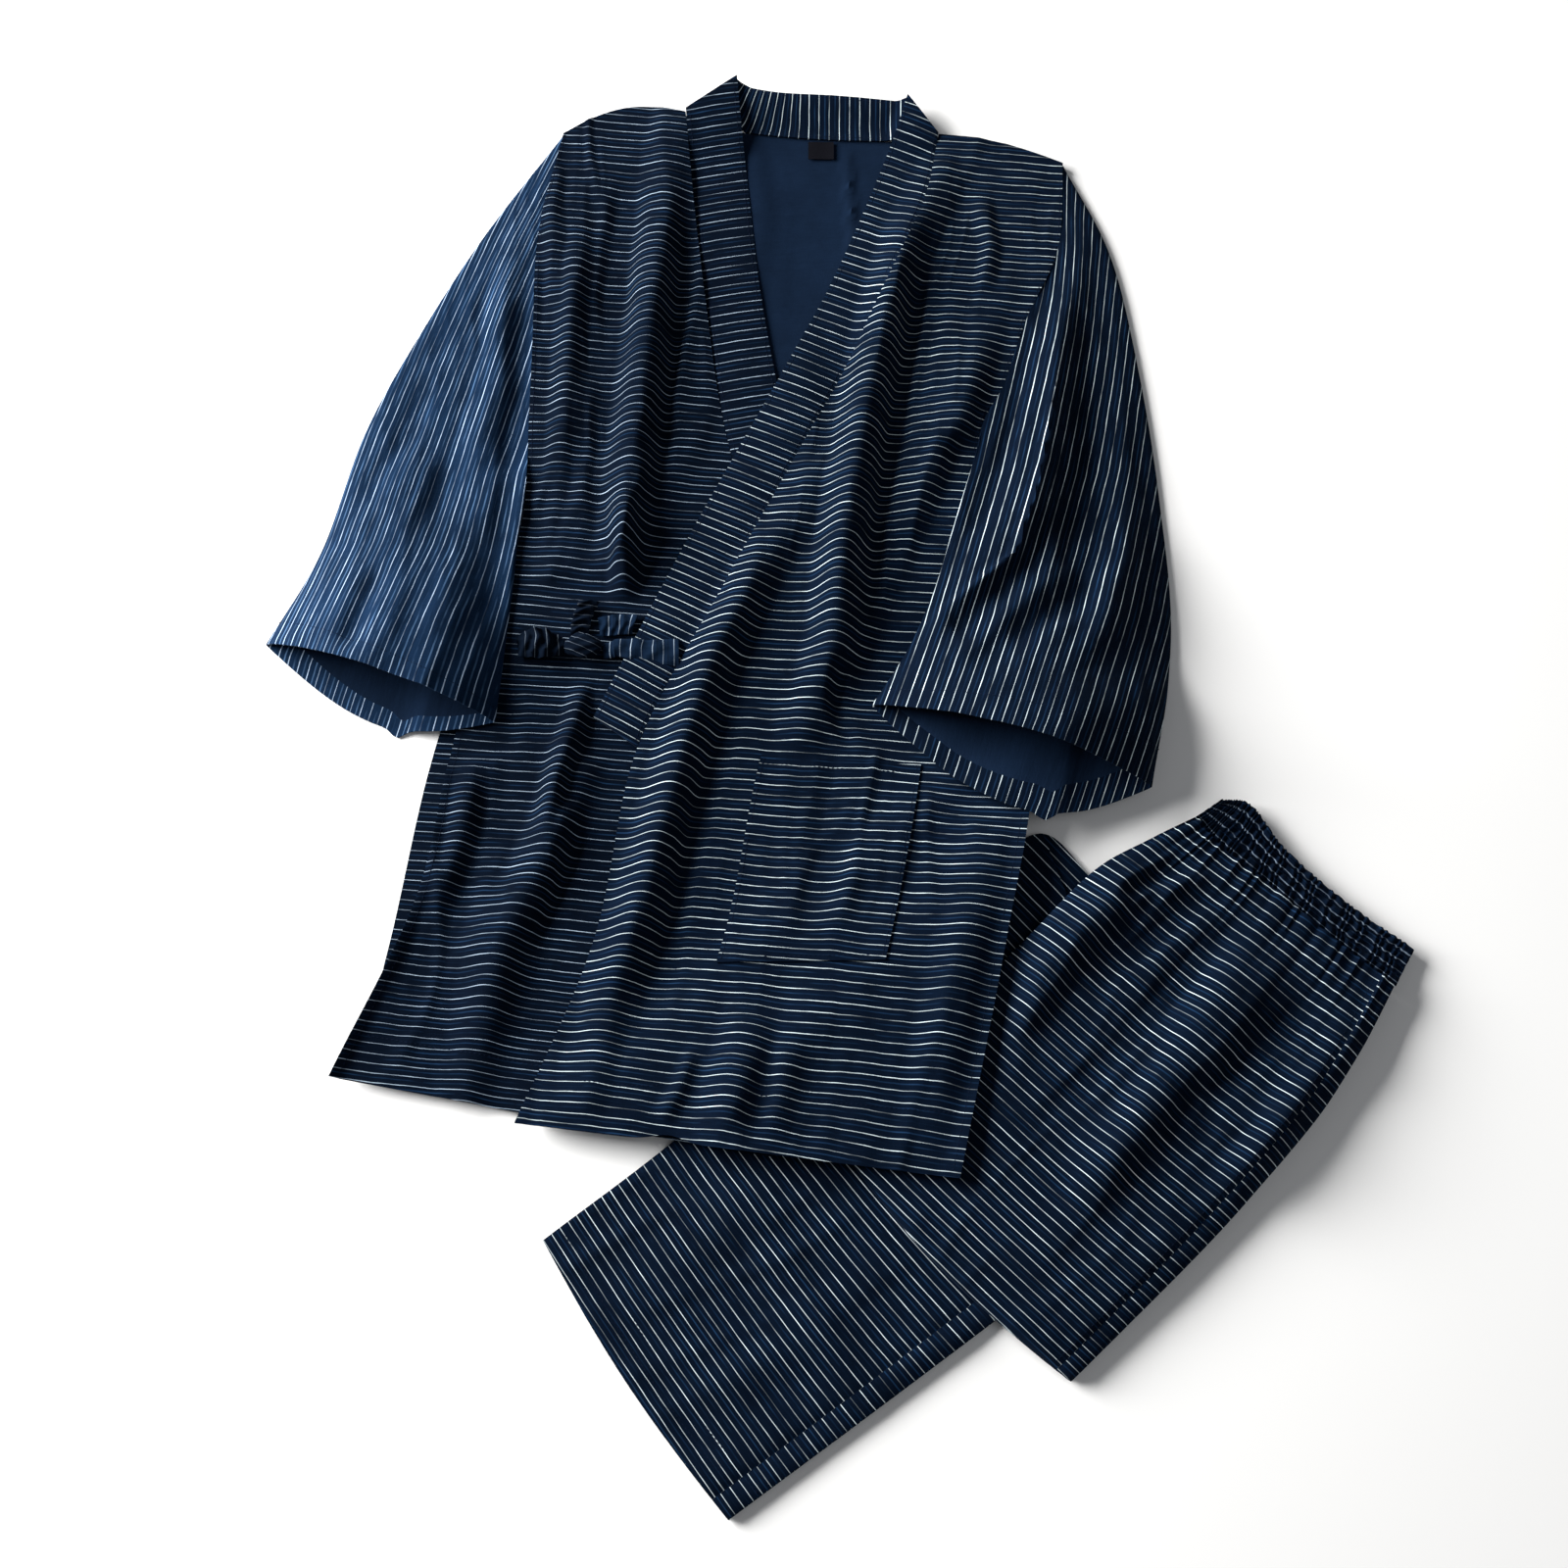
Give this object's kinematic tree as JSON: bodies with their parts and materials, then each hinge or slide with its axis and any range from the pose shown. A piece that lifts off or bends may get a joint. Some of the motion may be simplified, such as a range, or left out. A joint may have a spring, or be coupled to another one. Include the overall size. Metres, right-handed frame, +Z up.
{
  "type": "kimono pyjama set",
  "caption": "Wrap-front jacket with banded collar and tie, laid flat over short folded trousers with a gathered waistband.",
  "frame": {"origin": "middle of the set's outline on the surface it lies on", "axes": "+Z up out of the front of the jacket, +Y towards its neck, +X towards its left sleeve"},
  "size_m": [0.8327, 1.0808, 0.0633],
  "materials": {
    "striped_cotton": "crinkled navy cotton with thin whitish slub stripes 8 mm apart",
    "cotton_reverse": "plain navy inside of the same cloth",
    "label_tape": "bare black woven tape"
  },
  "bodies": {
    "root": {"jacket_back": "cotton_reverse", "jacket_right_front": "striped_cotton", "jacket_left_front": "striped_cotton", "pocket": "striped_cotton", "collar_right_band": "striped_cotton", "collar_back_band": "striped_cotton", "collar_left_band": "striped_cotton", "right_sleeve": "striped_cotton", "left_sleeve": "striped_cotton", "tie_knot": "striped_cotton", "tie_strap": "striped_cotton", "tie_upper_strap": "striped_cotton", "tie_up_loop": "striped_cotton", "tie_side_loop": "striped_cotton", "neck_label": "label_tape", "left_leg_hidden_layers": "striped_cotton", "left_leg_panel": "striped_cotton", "right_leg_hidden_layers": "striped_cotton", "right_leg_panel": "striped_cotton", "waistband_hidden_layers": "striped_cotton", "waistband": "striped_cotton"}
  },
  "joints": []
}
